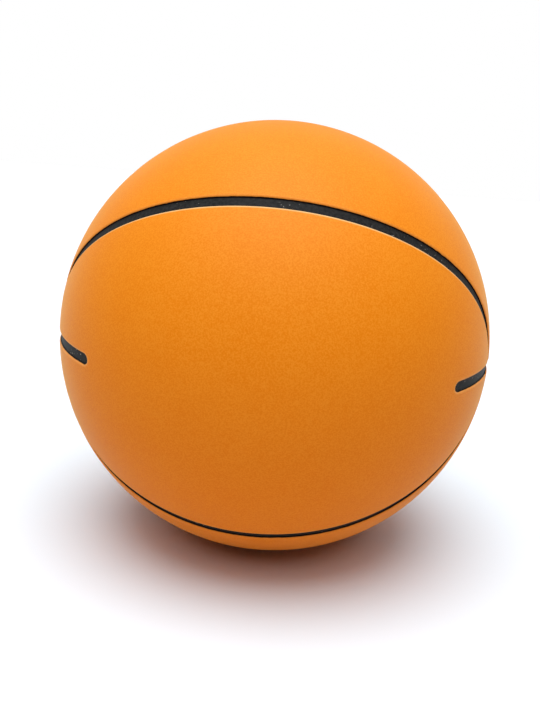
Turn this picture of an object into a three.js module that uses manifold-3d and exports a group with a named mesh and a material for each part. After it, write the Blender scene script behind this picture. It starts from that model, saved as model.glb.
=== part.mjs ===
// Hollow rubber bounce ball in the basketball style. Two moulded cups are bonded rim to rim, and black lines
// lie in a network of moulded channels: an equator broken at the front and back panels, a meridian that hides
// the bonded joint, and a closed loop around each of the two panels.
// Millimetres, +Z up. The origin is the ball's centre, and the front panel faces -Y.

import * as THREE from 'three';
import { mergeVertices } from 'three/addons/utils/BufferGeometryUtils.js';
import Module from 'manifold-3d';

// The ball and its wall
const BALL_DIAMETER = 90;
const WALL_THICKNESS = 4;
const CEMENT_THICKNESS = 0.3; // film between the two rims
const CEMENT_BEAD = 0.8; // how far the squeezed-out cement spreads to each side inside the joint
const REST_PATCH_DIAMETER = 7; // where the ball's own weight flattens it on a table

// The pattern of lines, in degrees at the ball's centre, so that it looks the same on a ball of any size
const LOOP_REACH = 78; // from the middle of a loop to its left and right ends
const LOOP_RISE = 43.5; // from the middle of a loop to its top and bottom
const BREAK_LEFT = 44; // from the middle of the front loop to the equator's round end on its left
const BREAK_RIGHT = 53; // the same on its right, because the bare panel isn't quite in the loop's middle

// The section of a channel and of the line in it
const CHANNEL_WIDTH = 2;
const SHOULDER_RADIUS = 0.45; // rounding of the rubber beside a channel
const LINE_RECESS = 0.45; // from the ball's surface down to the line
const LINE_THICKNESS = 0.3;
const FIT_CLEARANCE = 0.15; // around each line in its channel, and around the cement
const LINE_GAP = 0.3; // between two lines that meet

// Facets
const TURNS = 60; // around the front-to-back axis
const OUTER_RINGS = 14;
const INNER_RINGS = 6;
const SHOULDER_STEPS = 2;
const BEAD_STEPS = 3;
const ROUND_END_TURNS = 16;
const STEP_ANGLE = 5; // degrees between the sections of a line

const ORANGE = 0xe8852c;
const BLACK = 0x2b2c2e;
const CEMENT_TAN = 0xb98a58;

const BALL_RADIUS = BALL_DIAMETER / 2;
const INNER_RADIUS = BALL_RADIUS - WALL_THICKNESS;
const CHANNEL_HALF = CHANNEL_WIDTH / 2;
const CHANNEL_DEPTH = LINE_RECESS + LINE_THICKNESS + FIT_CLEARANCE;
const CUTTER_TOP = CHANNEL_DEPTH; // how far a channel cutter stands out of the ball
const LINE_HALF = CHANNEL_HALF - FIT_CLEARANCE;
const RIM_OFFSET = CEMENT_THICKNESS / 2 + FIT_CLEARANCE; // from the joint plane to each rim
const REST_HEIGHT = Math.sqrt(BALL_RADIUS ** 2 - (REST_PATCH_DIAMETER / 2) ** 2);

const radians = THREE.MathUtils.degToRad;

const wasm = await Module();
wasm.setup();

const MERGE_DISTANCE = 1e-4; // corners closer than this are one corner

// A closed geometry as a solid that can be joined and cut
function toSolid(geometry) {
  const bare = geometry.clone();
  bare.deleteAttribute('normal');
  bare.deleteAttribute('uv');
  const merged = mergeVertices(bare, MERGE_DISTANCE);
  const corners = merged.index.array;
  const kept = [];
  for (let i = 0; i < corners.length; i += 3) {
    const [a, b, c] = corners.slice(i, i + 3);
    if (a !== b && b !== c && c !== a) kept.push(a, b, c);
  }
  const vertProperties = new Float32Array(merged.attributes.position.array);
  const triVerts = new Uint32Array(kept);
  return new wasm.Manifold(new wasm.Mesh({ numProp: 3, vertProperties, triVerts }));
}

function toGeometry(solid) {
  const { vertProperties, triVerts } = solid.getMesh();
  const geometry = new THREE.BufferGeometry();
  geometry.setAttribute('position', new THREE.BufferAttribute(vertProperties, 3));
  geometry.setIndex(new THREE.BufferAttribute(triVerts, 1));
  geometry.computeVertexNormals();
  return geometry;
}

// A line's course on the ball. A section carried along it keeps its x across the line and its y straight out.
class CourseOnBall extends THREE.Curve {
  constructor(pointAtAngle, start, end) {
    super();
    this.pointAtAngle = pointAtAngle;
    this.start = start;
    this.end = end;
  }

  get steps() {
    return Math.round(Math.abs(this.end - this.start) / radians(STEP_ANGLE));
  }

  getPoint(t, target = new THREE.Vector3()) {
    return target.copy(this.pointAtAngle(THREE.MathUtils.lerp(this.start, this.end, t)));
  }

  // The sections are spaced by angle, which sets them closer where a loop bends tighter
  getUtoTmapping(u) {
    return u;
  }

  frameAt(t) {
    const tangent = this.getTangent(t);
    const outward = this.getPoint(t).normalize();
    return { tangent, outward, across: outward.clone().cross(tangent).normalize() };
  }

  computeFrenetFrames(segments) {
    const frames = Array.from({ length: segments + 1 }, (_, i) => this.frameAt(i / segments));
    return {
      tangents: frames.map((frame) => frame.tangent),
      normals: frames.map((frame) => frame.across),
      binormals: frames.map((frame) => frame.outward),
    };
  }
}

// Level circle, measured from the front towards the right
function onEquator(angle) {
  return new THREE.Vector3(Math.sin(angle), -Math.cos(angle), 0).multiplyScalar(BALL_RADIUS);
}

// Upright circle over the joint, measured from the right over the top
function onMeridian(angle) {
  return new THREE.Vector3(Math.cos(angle), 0, Math.sin(angle)).multiplyScalar(BALL_RADIUS);
}

// Front loop: an ellipse on the ball's skin laid flat around the loop's middle, measured from the right over
// the top. Laid flat, each point keeps its distance and its direction from the middle.
function onFrontLoop(angle) {
  const sideways = radians(LOOP_REACH) * Math.cos(angle);
  const upwards = radians(LOOP_RISE) * Math.sin(angle);
  const fromBack = Math.PI - Math.hypot(sideways, upwards);
  return new THREE.Vector3().setFromSphericalCoords(BALL_RADIUS, fromBack, Math.atan2(sideways, upwards));
}

// One side of a channel, from its floor up its wall and over the rounded shoulder: x across, y outwards
function channelEdge() {
  const shoulderEnd = CHANNEL_HALF + SHOULDER_RADIUS;
  const shoulderTop = Math.sqrt(BALL_RADIUS ** 2 - shoulderEnd ** 2) - BALL_RADIUS;
  const centreHeight = shoulderTop - SHOULDER_RADIUS;
  const arc = new THREE.EllipseCurve(
    shoulderEnd, centreHeight, SHOULDER_RADIUS, SHOULDER_RADIUS, Math.PI, Math.PI / 2, true,
  );
  return [new THREE.Vector2(CHANNEL_HALF, -CHANNEL_DEPTH), ...arc.getPoints(SHOULDER_STEPS)];
}

function cutterEdge() {
  const edge = channelEdge();
  return [...edge, new THREE.Vector2(edge.at(-1).x, CUTTER_TOP)];
}

function lineEdge() {
  return [
    new THREE.Vector2(LINE_HALF, FIT_CLEARANCE - CHANNEL_DEPTH),
    new THREE.Vector2(LINE_HALF, -LINE_RECESS),
  ];
}

// A section with two like sides, carried along a course
function sweep(edge, course) {
  const otherSide = edge.map((point) => new THREE.Vector2(-point.x, point.y)).reverse();
  const section = new THREE.Shape([...edge, ...otherSide]);
  return toSolid(new THREE.ExtrudeGeometry(section, { steps: course.steps, extrudePath: course }));
}

// The same section turned about the ball's radius, for a line's round end
function roundEnd(edge, course, t) {
  const onAxis = (point) => new THREE.Vector2(0, point.y);
  const turned = new THREE.LatheGeometry([onAxis(edge[0]), ...edge, onAxis(edge.at(-1))], ROUND_END_TURNS);
  const { across, outward, tangent } = course.frameAt(t);
  const place = new THREE.Matrix4().makeBasis(across, outward, tangent).setPosition(course.getPoint(t));
  return toSolid(turned.applyMatrix4(place));
}

// Angle at which a line ends beside the equator line, if it climbs from there like a circle of this radius
function endBesideEquator(radius) {
  return Math.asin((LINE_HALF + LINE_GAP) / radius);
}

// The equator's two stretches stop one half width short of the break, and their round ends reach to it.
// The back of the ball is the front after half a turn, so each stretch has one end of either kind.
const LEFT_END = radians(BREAK_LEFT) + CHANNEL_HALF / BALL_RADIUS;
const RIGHT_END = radians(BREAK_RIGHT) + CHANNEL_HALF / BALL_RADIUS;
const equatorCourse = {
  left: new CourseOnBall(onEquator, -LEFT_END, RIGHT_END - Math.PI),
  right: new CourseOnBall(onEquator, RIGHT_END, Math.PI - LEFT_END),
};

function withRoundEnds(edge, course) {
  return sweep(edge, course).add(roundEnd(edge, course, 0)).add(roundEnd(edge, course, 1));
}

// Front cup: a revolved wall whose rim is half of the meridian channel, with the other channels cut into it
function halfShell() {
  const rim = channelEdge().map((point) => new THREE.Vector2(BALL_RADIUS + point.y, -point.x)).reverse();
  const outside = new THREE.EllipseCurve(0, 0, BALL_RADIUS, BALL_RADIUS,
    -Math.PI / 2, Math.atan2(rim[0].y, rim[0].x));
  const inside = new THREE.EllipseCurve(0, 0, INNER_RADIUS, INNER_RADIUS,
    -Math.asin(RIM_OFFSET / INNER_RADIUS), -Math.PI / 2, true);
  const profile = [
    ...outside.getPoints(OUTER_RINGS).slice(0, -1),
    ...rim,
    new THREE.Vector2(BALL_RADIUS - CHANNEL_DEPTH, -RIM_OFFSET),
    ...inside.getPoints(INNER_RINGS),
  ];
  profile[0].x = 0;
  profile.at(-1).x = 0;

  const overlap = radians(STEP_ANGLE);
  const channels = [
    sweep(cutterEdge(), new CourseOnBall(onFrontLoop, -overlap, Math.PI + overlap)),
    sweep(cutterEdge(), new CourseOnBall(onFrontLoop, Math.PI - overlap, 2 * Math.PI + overlap)),
    withRoundEnds(cutterEdge(), equatorCourse.left),
    withRoundEnds(cutterEdge(), equatorCourse.right),
  ];
  const below = new THREE.BoxGeometry(BALL_DIAMETER, BALL_DIAMETER, BALL_DIAMETER);
  below.translate(0, 0, -REST_HEIGHT - BALL_RADIUS);

  let shell = toSolid(new THREE.LatheGeometry(profile, TURNS));
  for (const channel of channels) shell = shell.subtract(channel);
  return shell.subtract(toSolid(below));
}

// Ring of cement between the rims, with the bead that is squeezed out inside the ball
function seamCement() {
  const half = CEMENT_THICKNESS / 2;
  const beadTop = INNER_RADIUS - FIT_CLEARANCE;
  const bead = new THREE.EllipseCurve(beadTop, 0, CEMENT_BEAD, CEMENT_BEAD, Math.PI / 2, 3 * Math.PI / 2);
  const profile = [
    new THREE.Vector2(BALL_RADIUS - CHANNEL_DEPTH, -half),
    new THREE.Vector2(BALL_RADIUS - CHANNEL_DEPTH, half),
    new THREE.Vector2(beadTop, half),
    ...bead.getPoints(BEAD_STEPS),
    new THREE.Vector2(beadTop, -half),
  ];
  return toSolid(new THREE.LatheGeometry([...profile, profile[0]], TURNS));
}

function loopLine() {
  const climb = BALL_RADIUS * Math.sin(radians(LOOP_REACH)) * LOOP_RISE / LOOP_REACH;
  const end = endBesideEquator(climb);
  return sweep(lineEdge(), new CourseOnBall(onFrontLoop, end, Math.PI - end));
}

function meridianLine() {
  const end = endBesideEquator(BALL_RADIUS);
  return sweep(lineEdge(), new CourseOnBall(onMeridian, end, Math.PI - end));
}

const ball = new THREE.Group();

// Each form is made once and turned half a turn about one of the ball's axes for its twins
function place(name, geometry, colour, roughness, turn = {}) {
  const material = new THREE.MeshStandardMaterial({ color: colour, roughness, metalness: 0 });
  const mesh = new THREE.Mesh(geometry, material);
  mesh.name = name;
  mesh.rotation.set(turn.x ?? 0, turn.y ?? 0, turn.z ?? 0);
  ball.add(mesh);
}

const RUBBER_ROUGHNESS = 0.55;
const LINE_ROUGHNESS = 0.45;
const CEMENT_ROUGHNESS = 0.7;

const cup = toGeometry(halfShell());
place('front_half_shell', cup, ORANGE, RUBBER_ROUGHNESS);
place('back_half_shell', cup, ORANGE, RUBBER_ROUGHNESS, { z: Math.PI });
place('seam_cement', toGeometry(seamCement()), CEMENT_TAN, CEMENT_ROUGHNESS);

const equator = toGeometry(withRoundEnds(lineEdge(), equatorCourse.left));
place('equator_line_left', equator, BLACK, LINE_ROUGHNESS);
place('equator_line_right', equator, BLACK, LINE_ROUGHNESS, { z: Math.PI });

const meridian = toGeometry(meridianLine());
place('meridian_line_upper', meridian, BLACK, LINE_ROUGHNESS);
place('meridian_line_lower', meridian, BLACK, LINE_ROUGHNESS, { y: Math.PI });

const loop = toGeometry(loopLine());
place('front_loop_upper', loop, BLACK, LINE_ROUGHNESS);
place('front_loop_lower', loop, BLACK, LINE_ROUGHNESS, { y: Math.PI });
place('back_loop_upper', loop, BLACK, LINE_ROUGHNESS, { z: Math.PI });
place('back_loop_lower', loop, BLACK, LINE_ROUGHNESS, { x: Math.PI });

export default ball;
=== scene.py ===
# %% [markdown]
# This lesson dresses a small rubber bounce ball in the basketball style.
# The real ball is two moulded cups of orange rubber, bonded rim to rim, with black paint in
# narrow channels. Its construction is already packed as plain solids. They could be shown as
# they are, but they are coarse, so this file makes the fine surfaces and the finishes over them.
# Every length is in metres, in the frame of the solids: +Z up, the front panel towards -Y and
# the origin at the ball's centre.

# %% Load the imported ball
import math

import bpy
import numpy as np
from mathutils import Matrix, Vector


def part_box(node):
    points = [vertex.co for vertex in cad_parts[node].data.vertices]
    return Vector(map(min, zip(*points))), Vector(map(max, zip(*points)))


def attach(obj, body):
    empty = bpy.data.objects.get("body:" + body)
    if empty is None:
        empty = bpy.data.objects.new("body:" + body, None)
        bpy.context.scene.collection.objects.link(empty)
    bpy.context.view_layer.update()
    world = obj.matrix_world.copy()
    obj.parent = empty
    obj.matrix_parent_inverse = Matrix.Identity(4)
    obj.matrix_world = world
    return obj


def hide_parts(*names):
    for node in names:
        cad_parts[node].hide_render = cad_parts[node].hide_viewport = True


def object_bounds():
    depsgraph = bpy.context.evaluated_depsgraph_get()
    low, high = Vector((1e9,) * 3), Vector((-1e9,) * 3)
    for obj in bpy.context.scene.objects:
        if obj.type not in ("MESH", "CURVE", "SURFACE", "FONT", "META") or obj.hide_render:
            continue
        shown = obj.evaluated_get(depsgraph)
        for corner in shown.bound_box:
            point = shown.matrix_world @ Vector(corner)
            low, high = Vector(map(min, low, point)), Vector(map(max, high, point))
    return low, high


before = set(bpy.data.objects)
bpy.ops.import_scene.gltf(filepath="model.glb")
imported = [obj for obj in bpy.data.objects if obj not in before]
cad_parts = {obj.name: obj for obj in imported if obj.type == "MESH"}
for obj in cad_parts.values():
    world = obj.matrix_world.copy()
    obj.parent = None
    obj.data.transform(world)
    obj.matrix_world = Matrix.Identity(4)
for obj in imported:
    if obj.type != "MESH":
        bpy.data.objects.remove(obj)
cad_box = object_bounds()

print("nodes:", ", ".join(sorted(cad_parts)))

# %% [markdown]
# On the real ball the mould gives the pattern of lines. It could be drawn as free curves, but a
# few numbers say it all, and then every piece can use the same ones.
# If the ball's skin is laid flat around the middle of the front panel, the loop is an ellipse
# with a reach to the sides and a rise to the top, both given as angles at the ball's centre.
# The equator line is broken at the front and, after half a turn, in the same way at the back.
# Its ends lie inside the loops, the left one a little nearer to the middle than the right one.
# The radius and the table's height come from the solids, so that the dressed ball keeps their size.

# %% Sizes of the ball and of its pattern
MM = 0.001
BALL_RADIUS = -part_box("front_half_shell")[0][1]
REST_HEIGHT = cad_box[0].z
WALL_THICKNESS = 4.0 * MM
LOOP_REACH = math.radians(78.0)
LOOP_RISE = math.radians(43.5)
BREAK_LEFT = math.radians(44.0)
BREAK_RIGHT = math.radians(53.0)

CHANNEL_HALF = 0.95 * MM
CHANNEL_DEPTH = 0.46 * MM
SHOULDER_RADIUS = 0.50 * MM
CORNER_BLEND = 0.45 * MM
END_STRETCH = 1.4

LEFT_END = BREAK_LEFT + END_STRETCH * CHANNEL_HALF / BALL_RADIUS
RIGHT_END = BREAK_RIGHT + END_STRETCH * CHANNEL_HALF / BALL_RADIUS
print(f"ball radius {BALL_RADIUS / MM:.2f} mm, table at {REST_HEIGHT / MM:.2f} mm")

# %% [markdown]
# A channel is the print of a rib in the mould and has the same section wherever it runs, so its
# depth can be a function of one number: the distance to the nearest line.
# Cutting grooves with booleans would work too, but it leaves thin triangles and broken shading.
# Three distances are worked out over the ball and joined with a smooth minimum. It also rounds
# the corners of the panels where two channels cross, as the ribs of a mould do.

# %% Places on the ball
HALF_TURN = np.array([-1.0, -1.0, 1.0])


def towards(opening, turn):
    """Unit vectors at an opening from the front axis, turned from the right side to the top."""
    outwards = np.sin(opening)
    return np.stack([outwards * np.cos(turn), -np.cos(opening), outwards * np.sin(turn)], axis=-1)


def loop_point(turn):
    """Point of the front loop: the ellipse's two parts give an opening and a direction."""
    sideways = LOOP_REACH * np.cos(turn)
    upwards = LOOP_RISE * np.sin(turn)
    return towards(np.hypot(sideways, upwards), np.arctan2(upwards, sideways))


def fold_to_front(directions):
    """Half a turn about Z carries the back of the ball onto its front, which has the same lines."""
    back = directions[..., 1:2] > 0.0
    return np.where(back, directions * HALF_TURN, directions)


def angle_between(first, second):
    """Angle of two unit vectors from the chord between them, which stays exact near zero."""
    chord = np.linalg.norm(first - second, axis=-1)
    return 2.0 * np.arcsin(np.clip(chord / 2.0, 0.0, 1.0))


loop_top = loop_point(np.array(math.pi / 2)) * BALL_RADIUS
print(f"the loop's top is {loop_top[2] / MM:.1f} mm above the equator")

# %% Distance from any point of the ball to its lines
NEWTON_ROUNDS = 8
NEWTON_STEP = 1e-3
NEWTON_FARTHEST = 0.2
LEAST_BEND = 0.05


def distance_to_loop(directions):
    """Newton's method for the loop's best aligned point, first guessed from the ellipse's angle."""
    def alignment(turn):
        """Cosine of the angle between each direction and the loop's point at its turn."""
        return (loop_point(turn) * directions).sum(-1)

    turn = np.arctan2(directions[..., 2] / LOOP_RISE, directions[..., 0] / LOOP_REACH)
    for _ in range(NEWTON_ROUNDS):
        before = alignment(turn - NEWTON_STEP)
        here = alignment(turn)
        ahead = alignment(turn + NEWTON_STEP)
        slope = (ahead - before) / (2.0 * NEWTON_STEP)
        bend = np.minimum((ahead - 2.0 * here + before) / NEWTON_STEP**2, -LEAST_BEND)
        turn = turn - np.clip(slope / bend, -NEWTON_FARTHEST, NEWTON_FARTHEST)
    return BALL_RADIUS * angle_between(loop_point(turn), directions)


def distance_to_equator(directions):
    """Distance to the level plane along the ball.

    Past a line's end, the way along the line counts less, as in an ellipse.
    """
    around = np.arctan2(directions[..., 0], -directions[..., 1])
    past_end = np.where(around < 0.0, LEFT_END + around, RIGHT_END - around)
    to_plane = np.arcsin(np.clip(directions[..., 2], -1.0, 1.0))
    return BALL_RADIUS * np.hypot(to_plane, np.maximum(past_end, 0.0) / END_STRETCH)


def distance_to_meridian(directions):
    """Distance to the plane of the joint, measured along the ball."""
    return BALL_RADIUS * np.abs(np.arcsin(np.clip(directions[..., 1], -1.0, 1.0)))


def smooth_minimum(a, b, blend):
    """The smaller of two values, rounded off over the blend where they are nearly equal."""
    share = np.clip(0.5 + 0.5 * (b - a) / blend, 0.0, 1.0)
    return b + (a - b) * share - blend * share * (1.0 - share)


def distance_to_lines(directions):
    """Distance to the nearest of the three lines, with rounded corners where they cross."""
    front = fold_to_front(directions)
    equator = distance_to_equator(front)
    nearest = smooth_minimum(equator, distance_to_meridian(front), CORNER_BLEND)
    return smooth_minimum(nearest, distance_to_loop(front), CORNER_BLEND)


LOOP_TESTS = 9
on_loop = distance_to_lines(loop_point(np.linspace(0.0, 2.0 * math.pi, LOOP_TESTS)))
print(f"farthest that a point of the loop lies from its line: {on_loop.max() / MM:.4f} mm")

# %% Section of a channel
def channel_height(distance):
    """Height over the ball: a flat floor, then a quarter round that climbs to the surface."""
    across = np.clip(CHANNEL_HALF + SHOULDER_RADIUS - distance, 0.0, SHOULDER_RADIUS)
    shoulder = SHOULDER_RADIUS - np.sqrt(SHOULDER_RADIUS**2 - across**2)
    return -np.minimum(shoulder, CHANNEL_DEPTH)


print(f"a channel's floor lies {-channel_height(0.0) / MM:.2f} mm under the surface")

# %% [markdown]
# The cups and the coats of paint are closed skins. They could be built face by face with bmesh,
# but whole arrays are faster, and each corner's place is known from its row and column.
# One helper takes points and faces from numpy and makes a smooth-shaded piece that stays at the
# origin, rides on the ball's only body and stands for its solid.

# %% Put an array of points and faces into a mesh
def make_piece(name, points, quads, triangles, finish, node):
    """Mesh of quads and triangles, by their corner numbers, as a piece that replaces one node."""
    corners = np.concatenate([quads.ravel(), triangles.ravel()]).astype(np.int32)
    sizes = np.concatenate([np.full(len(quads), 4), np.full(len(triangles), 3)]).astype(np.int32)
    starts = np.concatenate([[0], np.cumsum(sizes)[:-1]]).astype(np.int32)
    mesh = bpy.data.meshes.new(name)
    mesh.vertices.add(len(points))
    mesh.vertices.foreach_set("co", points.astype(np.float32).ravel())
    mesh.loops.add(len(corners))
    mesh.loops.foreach_set("vertex_index", corners)
    mesh.polygons.add(len(sizes))
    mesh.polygons.foreach_set("loop_start", starts)
    mesh.polygons.foreach_set("use_smooth", np.ones(len(sizes), dtype=bool))
    mesh.update(calc_edges=True)
    mesh.validate()
    mesh.materials.append(finish)
    piece = bpy.data.objects.new(name, mesh)
    bpy.context.collection.objects.link(piece)
    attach(piece, "root")
    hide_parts(node)
    print(f"{name}: {len(points)} points, {len(sizes)} faces")
    return piece


def grid_faces(rows, columns):
    """Quads of a grid of rows that close on themselves."""
    row, column = np.meshgrid(np.arange(rows - 1), np.arange(columns), indexing="ij")
    after = (column + 1) % columns
    quads = np.stack([row * columns + column, row * columns + after,
                      (row + 1) * columns + after, (row + 1) * columns + column], axis=-1)
    return quads.reshape(-1, 4)


def spread(first, *counts_and_stops):
    """Values from stop to stop, each stretch cut into its own count of equal steps."""
    values = [np.array([first])]
    for count, stop in zip(counts_and_stops[0::2], counts_and_stops[1::2]):
        values.append(np.linspace(values[-1][-1], stop, count + 1)[1:])
    return np.concatenate(values)


print("a grid of 3 rows and 4 columns has", len(grid_faces(3, 4)), "quads")

# %% [markdown]
# Rubber, paint and cement differ in more than colour: each has a grain of its own.
# Such maths gets long when every node is placed by hand, so a small class lets sums and products
# of sockets be written as Python expressions, and one method adds any other node.

# %% Write shader maths as expressions
MIX_FIRST = 6
MIX_SECOND = 7
MIX_COLOUR = 2


class Wire:
    """An output socket. Sums, differences and products of wires and numbers add Math nodes."""

    def __init__(self, tree, socket):
        self.tree = tree
        self.socket = socket

    def __add__(self, other):
        return self.tree.maths("ADD", self, other)

    def __radd__(self, other):
        return self.tree.maths("ADD", other, self)

    def __sub__(self, other):
        return self.tree.maths("SUBTRACT", self, other)

    def __rsub__(self, other):
        return self.tree.maths("SUBTRACT", other, self)

    def __mul__(self, other):
        return self.tree.maths("MULTIPLY", self, other)

    def __rmul__(self, other):
        return self.tree.maths("MULTIPLY", other, self)


class Tree:
    """The emptied node tree of a material or of the world."""

    def __init__(self, owner):
        owner.use_nodes = True
        self.nodes = owner.node_tree.nodes
        self.links = owner.node_tree.links
        self.nodes.clear()

    def node(self, kind, settings, sockets, output=0):
        """Any node: its type, its settings, which are set first, then its sockets."""
        made = self.nodes.new(kind)
        for name, value in settings.items():
            setattr(made, name, value)
        for name, value in sockets.items():
            if isinstance(value, Wire):
                self.links.new(value.socket, made.inputs[name])
            else:
                made.inputs[name].default_value = value
        return Wire(self, made.outputs[output]) if made.outputs else None

    def maths(self, operation, first, second):
        """One Math node on two wires or numbers."""
        return self.node("ShaderNodeMath", {"operation": operation}, {0: first, 1: second})

    def place(self):
        """The place on the piece, in the frame of the solids."""
        return self.node("ShaderNodeTexCoord", {}, {}, "Object")

    def attribute(self, name):
        """A number that the piece's own points carry."""
        return self.node("ShaderNodeAttribute", {"attribute_name": name}, {}, "Fac")

    def noise(self, place, cells_per_mm, detail=2.0, roughness=0.5):
        """Soft noise between 0 and 1, with so many cells to a millimetre."""
        sockets = {"Vector": place, "Scale": cells_per_mm / MM,
                   "Detail": detail, "Roughness": roughness}
        return self.node("ShaderNodeTexNoise", {"noise_dimensions": "3D"}, sockets, "Fac")

    def climb(self, value, low, high):
        """Straight climb from 0 at low to 1 at high, flat beyond both."""
        sockets = {"Value": value, "From Min": low, "From Max": high}
        return self.node("ShaderNodeMapRange", {"clamp": True}, sockets)

    def mix(self, share, first, second):
        """Colour between two colours."""
        sockets = {"Factor": share, MIX_FIRST: first, MIX_SECOND: second}
        return self.node("ShaderNodeMix", {"data_type": "RGBA"}, sockets, MIX_COLOUR)

    def bump(self, strength, distance, height):
        """Normal that is tilted by a height over the surface."""
        sockets = {"Strength": strength, "Distance": distance, "Height": height}
        return self.node("ShaderNodeBump", {}, sockets)


def finish_material(name, make_shader):
    """A material whose tree is filled by a function that gives its shader."""
    material = bpy.data.materials.new(name)
    tree = Tree(material)
    tree.node("ShaderNodeOutputMaterial", {}, {"Surface": make_shader(tree)})
    print(f"{name}: {len(tree.nodes)} shader nodes")
    return material


# %% [markdown]
# The rubber is matte and nearly smooth. What the eye reads as rubber is a very fine grain,
# a faint mottle of the pigment, a dull bloom that shows at the outline, and a painted highlight:
# shoulders painted paler to stand for the light that they catch. The paint was brushed into the
# channels and up their walls, so its edge wanders and is ragged in places.
# A picture wrapped around the ball could show all this, but it would be stretched at the poles,
# so noise in the ball's own space makes it here. Two point attributes of the cups tell the
# material where it is: the distance to the nearest line, which ends the paint, and how strong the
# painted highlight on the shoulder is, most of all along the inside of the loop.

# %% Values of the orange rubber: noise in cells per mm, distances from a line in mm
NOISE_MIDDLE = 0.5
RUBBER_ORANGE = (0.968, 0.3015, 0.013, 1.0)
RUBBER_DEEP = (0.908, 0.2335, 0.0, 1.0)
RUBBER_ROUGHNESS = 0.54
RUBBER_GLOSS = 0.15
MOTTLE_CELLS = 0.12
GRAIN_CELLS = 3.4
GRAIN_SHARE = 0.9
GRAIN_HEIGHT = 0.05 * MM
GRAIN_BUMP = 0.30
GRAIN_DULLING = 0.16
SPECKLE_LOW = 0.42
SPECKLE_HIGH = 0.58
BLOOM = 0.24
BLOOM_ROUGHNESS = 0.35
BLOOM_TINT = (1.0, 1.0, 0.40, 1.0)

# Painted highlight: a pale cream mixed into the shoulders beside the channels, for the light that they
# catch.
SHOULDER_HIGHLIGHT = (0.98, 0.60, 0.26, 1.0)
PALE_OUTER = 1.56
PALE_INNER = 1.24
PALE_LEAST = 0.65
PALE_WANDER = 0.50

WALL_BLACK = (0.008, 0.006, 0.005, 1.0)
WALL_ROUGHNESS = 0.45
WALL_GLOSS = 0.02
PAINT_HALF = 1.06
PAINT_FADE = 0.04
PAINT_WANDER = 0.08
PAINT_RAGGED = 0.10
WANDER_CELLS = 1.1
RAGGED_CELLS = 0.06
RAGGED_LOW = 0.55
RAGGED_HIGH = 0.75
print(f"the paint ends {PAINT_HALF} mm from the middle of a line, give or take its wander")


# %% Orange rubber
def rubber_colour(tree, grain, mottle, distance, wander):
    """Two oranges in a fine grain, and a painted highlight on the shoulder beside each channel."""
    speckle = grain * GRAIN_SHARE + mottle * (1.0 - GRAIN_SHARE)
    orange = tree.mix(tree.climb(speckle, SPECKLE_LOW, SPECKLE_HIGH), RUBBER_DEEP, RUBBER_ORANGE)
    # Painted highlight on the shoulders, as strong as the cup's attribute says.
    near = tree.climb(distance, PALE_OUTER, PALE_INNER)
    pale = near * tree.attribute("shoulder_highlight") * (PALE_LEAST + wander * PALE_WANDER)
    return tree.mix(pale, orange, SHOULDER_HIGHLIGHT)


def rubber_shader(tree):
    """Bare rubber, and paint up to a wandering edge beside each line."""
    place = tree.place()
    distance = tree.attribute("line_distance_mm")
    mottle = tree.noise(place, MOTTLE_CELLS, detail=3.0)
    grain = tree.noise(place, GRAIN_CELLS, detail=3.0, roughness=0.65)
    wander = tree.noise(place, WANDER_CELLS)
    ragged = tree.climb(tree.noise(place, RAGGED_CELLS), RAGGED_LOW, RAGGED_HIGH)

    edge = distance + (wander - NOISE_MIDDLE) * (PAINT_WANDER + ragged * PAINT_RAGGED)
    painted = tree.climb(edge, PAINT_HALF + PAINT_FADE / 2, PAINT_HALF - PAINT_FADE / 2)
    bump = tree.bump(GRAIN_BUMP, GRAIN_HEIGHT, grain)
    bare = tree.node("ShaderNodeBsdfPrincipled", {}, {
        "Base Color": rubber_colour(tree, grain, mottle, distance, wander),
        "Roughness": RUBBER_ROUGHNESS + (grain - NOISE_MIDDLE) * GRAIN_DULLING,
        "Specular IOR Level": RUBBER_GLOSS,
        "Sheen Weight": BLOOM,
        "Sheen Roughness": BLOOM_ROUGHNESS,
        "Sheen Tint": BLOOM_TINT,
        "Normal": bump,
    })
    wall = tree.node("ShaderNodeBsdfPrincipled", {}, {
        "Base Color": WALL_BLACK,
        "Roughness": WALL_ROUGHNESS,
        "Specular IOR Level": WALL_GLOSS,
        "Normal": bump,
    })
    return tree.node("ShaderNodeMixShader", {}, {"Fac": painted, 1: bare, 2: wall})


rubber = finish_material("orange_rubber", rubber_shader)

# %% [markdown]
# The line itself is a satin black coat on the channel's floor. It has the grain of the brush,
# and pale specks in small groups where dust has stuck to it.
# Each speck could be a small mesh, but it is flat and very small, so the peaks of a fine noise
# stand for the specks, and a wide noise gathers them in groups.

# %% Black line paint
LINE_BLACK = (0.008, 0.008, 0.008, 1.0)
LINE_GREY = (0.030, 0.029, 0.029, 1.0)
LINE_GLOSS = 0.04
LINE_ROUGHNESS = 0.50
BRUSH_CELLS = 1.8
BRUSH_HEIGHT = 0.06 * MM
BRUSH_BUMP = 0.35
BRUSH_DULLING = 0.25
BRUSH_LOW = 0.35
BRUSH_HIGH = 0.65
SPECK_PALE = (0.50, 0.47, 0.44, 1.0)
SPECK_SHARE = 0.7
SPECK_CELLS = 1.6
SPECK_LOW = 0.695
SPECK_HIGH = 0.735
GROUP_CELLS = 0.09
GROUP_LOW = 0.48
GROUP_HIGH = 0.60


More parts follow.
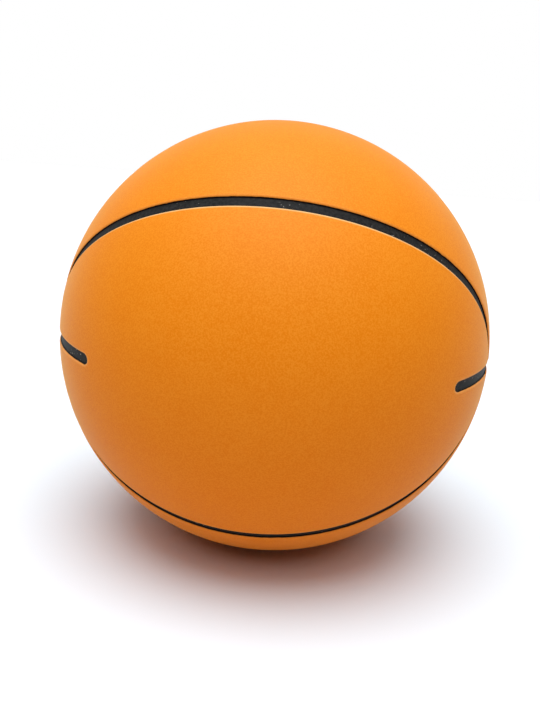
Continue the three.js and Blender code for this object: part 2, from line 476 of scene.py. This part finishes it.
def paint_shader(tree):
    """Two blacks in a fine grain, and specks from a small noise where a wide noise allows them."""
    place = tree.place()
    brush = tree.noise(place, BRUSH_CELLS, detail=4.0, roughness=0.7)
    groups = tree.climb(tree.noise(place, GROUP_CELLS), GROUP_LOW, GROUP_HIGH)
    peaks = tree.climb(tree.noise(place, SPECK_CELLS, detail=1.0), SPECK_LOW, SPECK_HIGH)
    black = tree.mix(tree.climb(brush, BRUSH_LOW, BRUSH_HIGH), LINE_BLACK, LINE_GREY)
    return tree.node("ShaderNodeBsdfPrincipled", {}, {
        "Base Color": tree.mix(peaks * groups * SPECK_SHARE, black, SPECK_PALE),
        "Roughness": LINE_ROUGHNESS + (brush - NOISE_MIDDLE) * BRUSH_DULLING,
        "Specular IOR Level": LINE_GLOSS,
        "Normal": tree.bump(BRUSH_BUMP, BRUSH_HEIGHT, brush),
    })


line_paint = finish_material("black_line", paint_shader)

# %% [markdown]
# The cement is a thin ring of tan glue, cured between the two rims. A finer mesh could replace
# its solid, but it never shows, so it keeps the solid and only gets a finish of its own.

# %% Cured cement on the solid of the joint
CEMENT_DARK = (0.36, 0.18, 0.07, 1.0)
CEMENT_TAN = (0.56, 0.32, 0.14, 1.0)
CEMENT_ROUGHNESS = 0.55
CLOUD_CELLS = 0.4
CLOUD_DULLING = 0.2


def cement_shader(tree):
    """Tan rubber cement with a soft cloud of darker tan."""
    cloud = tree.noise(tree.place(), CLOUD_CELLS, detail=3.0)
    return tree.node("ShaderNodeBsdfPrincipled", {}, {
        "Base Color": tree.mix(cloud, CEMENT_DARK, CEMENT_TAN),
        "Roughness": CEMENT_ROUGHNESS + cloud * CLOUD_DULLING,
    })


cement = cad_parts["seam_cement"]
cement.data.materials.clear()
cement.data.materials.append(finish_material("cured_cement", cement_shader))

# %% [markdown]
# Each cup of rubber is one grid: rings around the front axis, from the middle of the panel over
# the outside to the rim, and back along the inside.
# A plain sphere with a displacement could do it, but would need small faces everywhere. Here the
# rings crowd together at the equator's two round ends, beside the loop and at the rim, and the
# columns crowd beside the equator, so the shoulders are smooth and the open panels stay light.

# %% The rings of a cup
FINE_STEPS = 44
TIP_STEPS = 32
PANEL_STEPS = 18
BETWEEN_TIPS_STEPS = 6
TO_LOOP_STEPS = 8
TO_RIM_STEPS = 14
CHANNEL_ZONE = 1.9 * MM
RIM_OFFSET = 0.15 * MM
TIP_BEFORE = 2.2 * MM
TIP_AFTER = 1.4 * MM
SMALL_TURN = 1e-4


def loop_opening(turn):
    """Angle from the front axis to the ellipse at a turn about that axis: its polar form."""
    return 1.0 / np.sqrt((np.cos(turn) / LOOP_REACH) ** 2 + (np.sin(turn) / LOOP_RISE) ** 2)


def loop_slant(turn):
    """Cosine of the angle between the loop and the circle around the front axis at a turn."""
    rise = loop_opening(turn + SMALL_TURN) - loop_opening(turn - SMALL_TURN)
    return np.cos(np.arctan2(rise / (2.0 * SMALL_TURN), np.sin(loop_opening(turn))))


def ring_shares():
    """Each ring's share of the way from the middle to the loop's zone, fine over both tips."""
    whole = LOOP_REACH - CHANNEL_ZONE / BALL_RADIUS
    left = LEFT_END + np.array([-TIP_BEFORE, TIP_AFTER]) / BALL_RADIUS
    right = RIGHT_END + np.array([-TIP_BEFORE, TIP_AFTER]) / BALL_RADIUS
    rings = spread(0.0, PANEL_STEPS, left[0], TIP_STEPS, left[1], BETWEEN_TIPS_STEPS, right[0],
                   TIP_STEPS, right[1], TO_LOOP_STEPS, whole)
    return rings[1:] / whole


def cup_rings(turns):
    """Angle of each ring at given turns: shares up to the loop, fine over it, even, fine at the rim."""
    loop = loop_opening(turns)
    zone = CHANNEL_ZONE / BALL_RADIUS / loop_slant(turns)
    near_rim = math.pi / 2 - CHANNEL_ZONE / BALL_RADIUS
    rim = math.pi / 2 - RIM_OFFSET / BALL_RADIUS
    inner = ring_shares()[:, None] * (loop - zone)
    across = loop + spread(-1.0, FINE_STEPS, 1.0)[1:, None] * zone
    outer = loop + zone + spread(0.0, TO_RIM_STEPS, 1.0)[1:, None] * (near_rim - loop - zone)
    edge = spread(near_rim, FINE_STEPS // 2, rim)[1:, None] * np.ones_like(turns)
    return np.concatenate([inner, across, outer, edge])


level_rings = cup_rings(np.zeros(1))[:, 0]
print(f"{len(level_rings)} rings, the last at {math.degrees(level_rings[-1]):.1f} degrees")

# %% The columns of a cup, and the whole grid
BETWEEN_STEPS = 150
PANEL_CLEAR = 3.0 * CHANNEL_ZONE


def cup_columns(opening):
    """Turn of each column on the rings: parallel to the equator beside it, and evenly between."""
    reach = BALL_RADIUS * np.sin(np.maximum(opening, BREAK_LEFT - PANEL_CLEAR / BALL_RADIUS))
    beside = np.arcsin(spread(-CHANNEL_ZONE, FINE_STEPS, CHANNEL_ZONE)[None, :-1] / reach[:, None])
    last = np.arcsin(CHANNEL_ZONE / reach)[:, None]
    between = last + spread(0.0, BETWEEN_STEPS, 1.0)[None, :-1] * (math.pi - 2.0 * last)
    return np.concatenate([beside, between, math.pi + beside, math.pi + between], axis=1)


turns = cup_columns(level_rings)
openings = np.stack([cup_rings(row)[index] for index, row in enumerate(turns)])
outside = towards(openings, turns)
line_distance = distance_to_lines(outside)
print(f"{openings.shape[0]} rings of {openings.shape[1]} points")

# %% [markdown]
# The outside of a cup is the ball's radius lowered by the channels, and a little more under the
# coat of paint on their floor. The inside is a plain bowl.
# Where the ball rests, its own weight flattens the rubber. A simulation could find that patch,
# but a lowest height for every point gives it too, and keeps the ball exactly on the table.

# %% Points of the front cup
COAT_HALF = 0.95 * MM
COAT_BED = 0.06 * MM
BED_FADE = 0.05 * MM
INSIDE_RINGS = 14

bed = COAT_BED * np.clip((COAT_HALF - BED_FADE - line_distance) / BED_FADE, 0.0, 1.0)
outside_points = outside * (BALL_RADIUS + channel_height(line_distance) - bed)[..., None]
outside_points[..., 2] = np.maximum(outside_points[..., 2], REST_HEIGHT)
rim_turns = turns[-1:]
inside_openings = spread(openings[-1, 0], INSIDE_RINGS, 0.0)[:-1, None] * np.ones_like(rim_turns)
inside_points = towards(inside_openings, rim_turns) * (BALL_RADIUS - WALL_THICKNESS)
ring_points = np.concatenate([outside_points, inside_points])
middles = np.array([[0.0, -BALL_RADIUS, 0.0], [0.0, WALL_THICKNESS - BALL_RADIUS, 0.0]])
cup_points = np.concatenate([ring_points.reshape(-1, 3), middles])
print(f"{outside_points.shape[0]} rings outside, {inside_points.shape[0]} rings inside")

# %% Faces of a cup: the grid, and a fan of triangles around each of the two middles
rows, columns = ring_points.shape[:2]
around = np.arange(columns)
after = (around + 1) % columns
last_row = (rows - 1) * columns
outer_middle = np.full(columns, rows * columns)
outer_cap = np.stack([around, after, outer_middle], axis=-1)
inner_cap = np.stack([last_row + after, last_row + around, outer_middle + 1], axis=-1)
cup_quads = grid_faces(rows, columns)[:, ::-1]
cup_caps = np.concatenate([outer_cap, inner_cap])
print(f"{len(cup_quads)} quads and {len(cup_caps)} triangles")

# %% [markdown]
# Beside the channels the shoulders get a painted highlight, strongest on the panel inside the
# loop and weaker elsewhere. This and the distance to the lines could be found again by shader
# nodes, but the grid knows both already, so its points carry them to the material.
# The back cup could have a pattern of its own, but such balls repeat theirs, so it is the front
# cup after half a turn.

# %% The front cup, and the same cup turned for the back
# Strength of the painted highlight on the shoulders: inside the loop, by the equator, elsewhere.
HIGHLIGHT_LOOP = 1.0
HIGHLIGHT_EQUATOR = 0.28
HIGHLIGHT_OUTSIDE = 0.12
FAR_FROM_LINES = 20.0

cup_distance = np.full(len(cup_points), FAR_FROM_LINES)
cup_distance[:line_distance.size] = line_distance.ravel() / MM
by_loop = distance_to_loop(outside) < distance_to_equator(outside)
on_panel = openings < loop_opening(turns)
panel_highlight = np.where(by_loop, HIGHLIGHT_LOOP, HIGHLIGHT_EQUATOR)
cup_highlight = np.full(len(cup_points), HIGHLIGHT_OUTSIDE)
cup_highlight[:on_panel.size] = np.where(on_panel, panel_highlight, HIGHLIGHT_OUTSIDE).ravel()

for name, node, turn in (
    ("front_cup", "front_half_shell", 1.0),
    ("back_cup", "back_half_shell", HALF_TURN),
):
    cup = make_piece(name, cup_points * turn, cup_quads, cup_caps, rubber, node)
    for title, values in (("line_distance_mm", cup_distance), ("shoulder_highlight", cup_highlight)):
        attribute = cup.data.attributes.new(title, "FLOAT", "POINT")
        attribute.data.foreach_set("value", values.astype(np.float32))

# %% [markdown]
# A line is a coat of paint, so it has the shape of the channel's floor. It could be a colour on
# the rubber alone, but as a piece of its own it can be named and given another finish.
# Its section is carried along the line's course: the course gives a place on the ball and
# a direction across, and the channel's height gives the section.
# At a crossing the same height lowers the walls, so the coats run into each other.

# %% Carry the coat's section along a course
COAT_TOP = 0.030 * MM
COAT_UNDER = 0.030 * MM
COAT_COLUMNS = 22
ACROSS = spread(-1.0, COAT_COLUMNS, 1.0)
SMALL_STEP = 1e-5


def coat_points(course, stations, half_widths, lift):
    """Closed section at each station: its upper side across the line, then its underside back."""
    middle = course(stations)
    along = course(stations + SMALL_STEP) - course(stations - SMALL_STEP)
    across = np.cross(middle, along)
    across /= np.linalg.norm(across, axis=-1, keepdims=True)
    angle = (half_widths[:, None] * ACROSS / BALL_RADIUS)[..., None]
    place = np.cos(angle) * middle[:, None] + np.sin(angle) * across[:, None]
    height = channel_height(distance_to_lines(place))
    upper = place * (BALL_RADIUS + height + lift)[..., None]
    under = place * (BALL_RADIUS + height - COAT_UNDER)[..., None]
    return np.concatenate([upper, under[:, ::-1]], axis=1)


def make_coat(name, node, course, stations, half_widths, lift, turn):
    """One coat, closed at both ends by quads between its upper side and its underside."""
    points = coat_points(course, stations, half_widths, lift)
    count, section = points.shape[:2]
    ring = np.arange(len(ACROSS) - 1)
    cap = np.stack([ring, ring + 1, section - 2 - ring, section - 1 - ring], axis=-1)
    end_cap = cap + (count - 1) * section
    quads = np.concatenate([grid_faces(count, section), cap[:, ::-1], end_cap])
    flat = (points * turn).reshape(-1, 3)
    normal = np.cross(flat[1] - flat[0], flat[section] - flat[0])
    faces_in = (flat[:section].mean(0) * normal).sum() > 0
    quads = quads[:, ::-1] if faces_in else quads
    no_triangles = np.zeros((0, 3), dtype=np.int32)
    make_piece(name, flat, quads, no_triangles, line_paint, node)


def equator_course(angle):
    """Level circle from the front towards the left."""
    return np.stack([-np.sin(angle), -np.cos(angle), np.zeros_like(angle)], axis=-1)


def meridian_course(angle):
    """Upright circle over the joint, from the right over the top."""
    return np.stack([np.cos(angle), np.zeros_like(angle), np.sin(angle)], axis=-1)


print("a coat's section has", 2 * len(ACROSS), "points")

# %% [markdown]
# The equator's two coats have round ends like the channel's, so their width shrinks there as
# an ellipse's does. A cut end could be rounded with a bevel, but it wouldn't follow the channel.

# %% The two coats on the equator
STEPS_ALONG = 220
TIP_STATIONS = 12
FIRST_STATION = 0.04

tip = END_STRETCH * COAT_HALF / BALL_RADIUS
into_tip = tip * (1.0 - np.cos(spread(FIRST_STATION, TIP_STATIONS, 1.0) * math.pi / 2))
first = LEFT_END - tip
last = math.pi - RIGHT_END + tip
middle_stations = spread(first + tip, STEPS_ALONG, last - tip)[1:-1]
level_stations = np.concatenate([first + into_tip, middle_stations, (last - into_tip)[::-1]])
to_tip = np.minimum(level_stations - first, last - level_stations)
level_halves = COAT_HALF * np.sqrt(1.0 - np.clip(1.0 - to_tip / tip, 0.0, 1.0) ** 2)
for side, turn in (("left", 1.0), ("right", HALF_TURN)):
    name = f"equator_line_{side}"
    make_coat(f"{name}_coat", name, equator_course, level_stations, level_halves, COAT_TOP, turn)

# %% [markdown]
# The other six coats are halves of closed lines, which start and end under the equator's coats
# and lie a little lower. Each could have a course of its own, but the real pattern repeats
# itself, so half turns about the three axes give the twins.

# %% The six coats of the meridian and the loops
UNDER_EQUATOR = 0.5 * MM
LOWER_LIFT = 0.018 * MM
UPSIDE_DOWN = np.array([-1.0, 1.0, -1.0])
ABOUT_X = np.array([1.0, -1.0, -1.0])

loop_climb = BALL_RADIUS * math.sin(LOOP_REACH) * LOOP_RISE / LOOP_REACH
for line, course, climb, twins in (
    ("meridian_line", meridian_course, BALL_RADIUS, (("upper", 1.0), ("lower", UPSIDE_DOWN))),
    ("front_loop", loop_point, loop_climb, (("upper", 1.0), ("lower", UPSIDE_DOWN))),
    ("back_loop", loop_point, loop_climb, (("upper", HALF_TURN), ("lower", ABOUT_X))),
):
    start = math.asin(UNDER_EQUATOR / climb)
    stations = spread(start, STEPS_ALONG, math.pi - start)
    halves = np.full(len(stations), COAT_HALF)
    for side, turn in twins:
        name = f"{line}_{side}"
        make_coat(f"{name}_coat", name, course, stations, halves, LOWER_LIFT, turn)

# %% [markdown]
# The ball lies on a white table in front of a white ground. More light could make them white,
# but then the ball would be too bright, because a colour has to render about as it is written.
# So the table is a cool white of its own where it is seen, and the sky is white only to the
# camera and in reflections. The light that the table throws back onto the ball is weaker and
# warmer, as the low side of the ball in the photograph shows.

# %% Table
TABLE_SIZE = 3.0
TABLE_SEEN = (0.90, 0.935, 0.97, 1.0)
TABLE_BOUNCE = (0.68, 0.555, 0.45, 1.0)


def seen_rays(tree):
    """1 for what is seen, straight, mirrored or through glass, and 0 for light on the ball."""
    straight = tree.node("ShaderNodeLightPath", {}, {}, "Is Camera Ray")
    mirrored = tree.node("ShaderNodeLightPath", {}, {}, "Is Glossy Ray")
    through = tree.node("ShaderNodeLightPath", {}, {}, "Is Transmission Ray")
    settings = {"operation": "ADD", "use_clamp": True}
    return tree.node("ShaderNodeMath", settings, {0: straight + mirrored, 1: through})


def table_shader(tree):
    """Plain matte surface that keeps the ball's shadow."""
    colour = tree.mix(seen_rays(tree), TABLE_BOUNCE, TABLE_SEEN)
    return tree.node("ShaderNodeBsdfDiffuse", {}, {"Color": colour})


half = TABLE_SIZE / 2
table_corners = [(-half, -half, REST_HEIGHT), (half, -half, REST_HEIGHT),
                 (half, half, REST_HEIGHT), (-half, half, REST_HEIGHT)]
table_mesh = bpy.data.meshes.new("table")
table_mesh.from_pydata(table_corners, [], [(0, 1, 2, 3)])
table_mesh.materials.append(finish_material("white_table", table_shader))
table = bpy.data.objects.new("table", table_mesh)
bpy.context.collection.objects.link(table)

# %% Sky
SKY_WHITE = (1.0, 1.0, 1.0, 1.0)
SKY_LIGHT = 0.035

scene = bpy.context.scene
scene.world = bpy.data.worlds.new("white_sky")
sky = Tree(scene.world)
sky_strength = SKY_LIGHT + seen_rays(sky) * (1.0 - SKY_LIGHT)
sky_shader = sky.node("ShaderNodeBackground", {}, {"Color": SKY_WHITE, "Strength": sky_strength})
sky.node("ShaderNodeOutputWorld", {}, {"Surface": sky_shader})
print(f"white_sky: {len(sky.nodes)} shader nodes")

# %% [markdown]
# The shadow in the photograph is dark under the ball and fades out over a long way, as in a
# light tent. One broad lamp could give the soft edge, but it leaves a flat band of full shadow
# under the ball. So a broad lamp hangs overhead, and around it lies the wider glow of the
# tent's cloth, which makes that band fade too.

# %% Lamps
LAMP_STRENGTH = 0.66 * math.pi
LAMP_TINT = (0.92, 0.97, 1.0)
LAMP_SPREAD = math.radians(48.0)
GLOW_STRENGTH = 0.62 * math.pi
GLOW_SPREAD = math.radians(88.0)
LAMP_FORWARD = math.radians(12.5)
LAMP_SIDEWAYS = math.radians(-1.0)

for name, strength, spread_angle in (
    ("overhead_lamp", LAMP_STRENGTH, LAMP_SPREAD),
    ("tent_glow", GLOW_STRENGTH, GLOW_SPREAD),
):
    lamp_data = bpy.data.lights.new(name, "SUN")
    lamp_data.energy = strength
    lamp_data.color = LAMP_TINT
    lamp_data.angle = spread_angle
    lamp = bpy.data.objects.new(name, lamp_data)
    lamp.rotation_euler = (LAMP_FORWARD, LAMP_SIDEWAYS, 0.0)
    bpy.context.collection.objects.link(lamp)
    print(f"{name}: {strength:.2f} W/m2, spread over {math.degrees(spread_angle):.0f} degrees")

# %% [markdown]
# The camera stands close to the ball, a little above its equator and a little to its right, and
# leans sideways. Its angles and distance were found by matching the outline and the lines of the
# photograph. A shifted lens could bring the ball to its place in the picture, but a turned
# camera does it with plain settings.

# %% Camera
PHOTO_WIDTH = 540
PHOTO_HEIGHT = 720
BALL_CENTRE_PIXEL = (274.4, 336.6)
BALL_RADIUS_PIXELS = 215.0
EYE_DISTANCE = 180.0 * MM
EYE_AZIMUTH = math.radians(4.75)
EYE_ELEVATION = math.radians(13.3)
EYE_LEAN = math.radians(4.2)
SENSOR_MM = 36.0
NEAREST_SEEN = 10.0 * MM

focal_pixels = BALL_RADIUS_PIXELS * math.sqrt((EYE_DISTANCE / BALL_RADIUS) ** 2 - 1.0)
back = Vector((math.sin(EYE_AZIMUTH) * math.cos(EYE_ELEVATION),
               -math.cos(EYE_AZIMUTH) * math.cos(EYE_ELEVATION), math.sin(EYE_ELEVATION)))
level_right = Vector((0, 0, 1)).cross(back).normalized()
level_up = back.cross(level_right)
right = math.cos(EYE_LEAN) * level_right + math.sin(EYE_LEAN) * level_up
up = back.cross(right)
at_ball = Matrix((right, up, back)).transposed()
to_ball = Vector(((BALL_CENTRE_PIXEL[0] - PHOTO_WIDTH / 2) / focal_pixels,
                  (PHOTO_HEIGHT / 2 - BALL_CENTRE_PIXEL[1]) / focal_pixels, -1.0))
aim = to_ball.rotation_difference(Vector((0, 0, -1))).to_matrix()

camera_data = bpy.data.cameras.new("camera")
camera_data.sensor_width = SENSOR_MM
camera_data.lens = SENSOR_MM * focal_pixels / PHOTO_HEIGHT
camera_data.clip_start = NEAREST_SEEN
camera = bpy.data.objects.new("camera", camera_data)
camera.matrix_world = Matrix.Translation(back * EYE_DISTANCE) @ (at_ball @ aim).to_4x4()
bpy.context.collection.objects.link(camera)
scene.camera = camera
scene.view_settings.view_transform = "Standard"
print(f"lens {camera_data.lens:.1f} mm at {EYE_DISTANCE / MM:.0f} mm")
